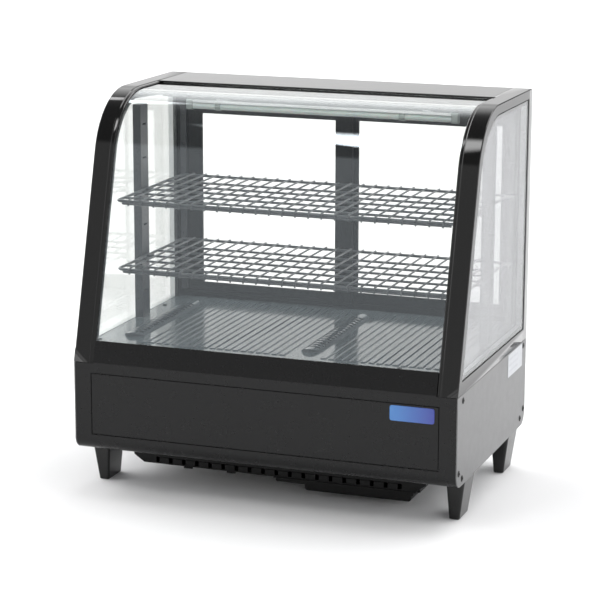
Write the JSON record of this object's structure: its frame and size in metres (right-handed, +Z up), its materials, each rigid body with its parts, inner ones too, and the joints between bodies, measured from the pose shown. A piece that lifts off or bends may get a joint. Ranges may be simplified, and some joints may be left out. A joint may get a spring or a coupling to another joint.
{
  "type": "refrigerated display case",
  "caption": "Countertop refrigerated display case with a curved front glass, glazed sides, wire shelves and sliding rear doors.",
  "frame": {"origin": "centre of the footprint, on the surface the four legs stand on", "axes": "+Z up, +Y towards the sliding service doors, the curved front glass faces -Y, +X to the right seen from the front"},
  "size_m": [0.6852, 0.4516, 0.675],
  "materials": {
    "gloss_black": "gloss",
    "clear_glass": "clear",
    "tinted_glass": "clear, slight green edge",
    "satin_charcoal": "satin powder coat",
    "black_moulding": "fine grain",
    "rubber": "matte",
    "aluminium": "mill finish",
    "black_liner": "smooth",
    "enamel_plate": "enamel",
    "dark_screw": "dark plated",
    "label_film": "printed film, blank",
    "galvanised": "galvanised",
    "gloss_black_deck": "gloss",
    "black_coated_metal": "semi-gloss",
    "grey_wire": "grey plastic coat",
    "opal_tube": "opal",
    "clear_plastic": "clear",
    "dark_display": "smoked",
    "grey_key": "satin",
    "green_rocker": "translucent",
    "copper": "bare copper",
    "fan_plastic": "moulded"
  },
  "bodies": {
    "cabinet": {"air_grille_centre": "gloss_black_deck", "air_grille_left": "gloss_black_deck", "base_pan": "galvanised", "bottom_vent_cover": "black_moulding", "cable_gland": "black_moulding", "ceiling_liner": "black_liner", "compressor": "black_coated_metal", "condenser_coil": "aluminium", "condenser_fan_shroud": "galvanised", "controller_bezel": "black_moulding", "controller_display": "dark_display", "door_track_frame": "black_moulding", "evaporator_coil": "aluminium", "evaporator_fan_plate": "galvanised", "fan_motors": "black_coated_metal", "floor_deck": "gloss_black_deck", "front_access_panel": "satin_charcoal", "front_fascia": "satin_charcoal", "front_glass": "tinted_glass", "front_glass_seal": "rubber", "glazing_gaskets": "rubber", "glazing_spacers": "aluminium", "insulated_base": "black_liner", "lamp_bar": "aluminium", "lamp_end_fittings": "clear_plastic", "lamp_tube": "opal_tube", "legs": "black_moulding", "nameplate": "enamel_plate", "rating_label": "label_film", "rear_panel": "satin_charcoal", "refrigerant_pipes": "copper", "screws": "dark_screw", "shelf_clips": "black_coated_metal", "shelf_supports": "black_coated_metal", "side_frame_left": "gloss_black", "side_frame_right": "gloss_black", "side_glazing_left": "clear_glass", "side_glazing_right": "clear_glass", "side_panel_left": "satin_charcoal", "side_panel_right": "satin_charcoal", "switch_frames": "black_moulding", "top_panel": "gloss_black", "wall_spacers": "rubber"},
    "left_door": {"door_left_frame": "black_moulding", "door_left_glass": "clear_glass", "door_left_pull": "black_moulding"},
    "right_door": {"door_right_frame": "black_moulding", "door_right_glass": "clear_glass", "door_right_pull": "black_moulding"},
    "condenser_fan": {"condenser_fan_rotor": "fan_plastic"},
    "evaporator_fan": {"evaporator_fan_rotor": "fan_plastic"},
    "power_switch": {"power_rocker": "green_rocker"},
    "light_switch": {"light_rocker": "black_moulding"},
    "key_set": {"controller_key_set": "grey_key"},
    "key_up": {"controller_key_up": "grey_key"},
    "key_down": {"controller_key_down": "grey_key"},
    "tray": {"drip_tray": "black_moulding"},
    "shelf_upper": {"upper_shelf": "grey_wire"},
    "shelf_lower": {"lower_shelf": "grey_wire"}
  },
  "joints": [
    {"name": "left_door_slide", "type": "slide", "parent": "cabinet", "child": "left_door", "axis": [1, 0, 0], "range_m": [0, 0.3]},
    {"name": "right_door_slide", "type": "slide", "parent": "cabinet", "child": "right_door", "axis": [1, 0, 0], "range_m": [-0.3, 0]},
    {"name": "condenser_fan_spin", "type": "hinge", "parent": "cabinet", "child": "condenser_fan", "pos_m": [0.217, 0.134, 0.149], "axis": [0, 1, 0], "continuous": true},
    {"name": "evaporator_fan_spin", "type": "hinge", "parent": "cabinet", "child": "evaporator_fan", "pos_m": [-0.013, -0.006, 0.18], "axis": [1, 0, 0], "continuous": true},
    {"name": "power_switch_rock", "type": "hinge", "parent": "cabinet", "child": "power_switch", "pos_m": [-0.27, 0.205, 0.145], "axis": [1, 0, 0], "range_deg": [0, 14]},
    {"name": "light_switch_rock", "type": "hinge", "parent": "cabinet", "child": "light_switch", "pos_m": [-0.235, 0.205, 0.145], "axis": [1, 0, 0], "range_deg": [0, 14]},
    {"name": "key_set_press", "type": "slide", "parent": "cabinet", "child": "key_set", "axis": [0, -1, 0], "range_m": [0, 0.0012], "stiffness_N_per_m": 400},
    {"name": "key_up_press", "type": "slide", "parent": "cabinet", "child": "key_up", "axis": [0, -1, 0], "range_m": [0, 0.0012], "stiffness_N_per_m": 400},
    {"name": "key_down_press", "type": "slide", "parent": "cabinet", "child": "key_down", "axis": [0, -1, 0], "range_m": [0, 0.0012], "stiffness_N_per_m": 400},
    {"name": "drip_tray_slide", "type": "slide", "parent": "cabinet", "child": "tray", "axis": [0, -1, 0], "range_m": [0, 0.14]},
    {"name": "upper_shelf_lift", "type": "slide", "parent": "cabinet", "child": "shelf_upper", "axis": [0, 0, 1], "range_m": [0, 0.02]},
    {"name": "lower_shelf_lift", "type": "slide", "parent": "cabinet", "child": "shelf_lower", "axis": [0, 0, 1], "range_m": [0, 0.02]}
  ]
}
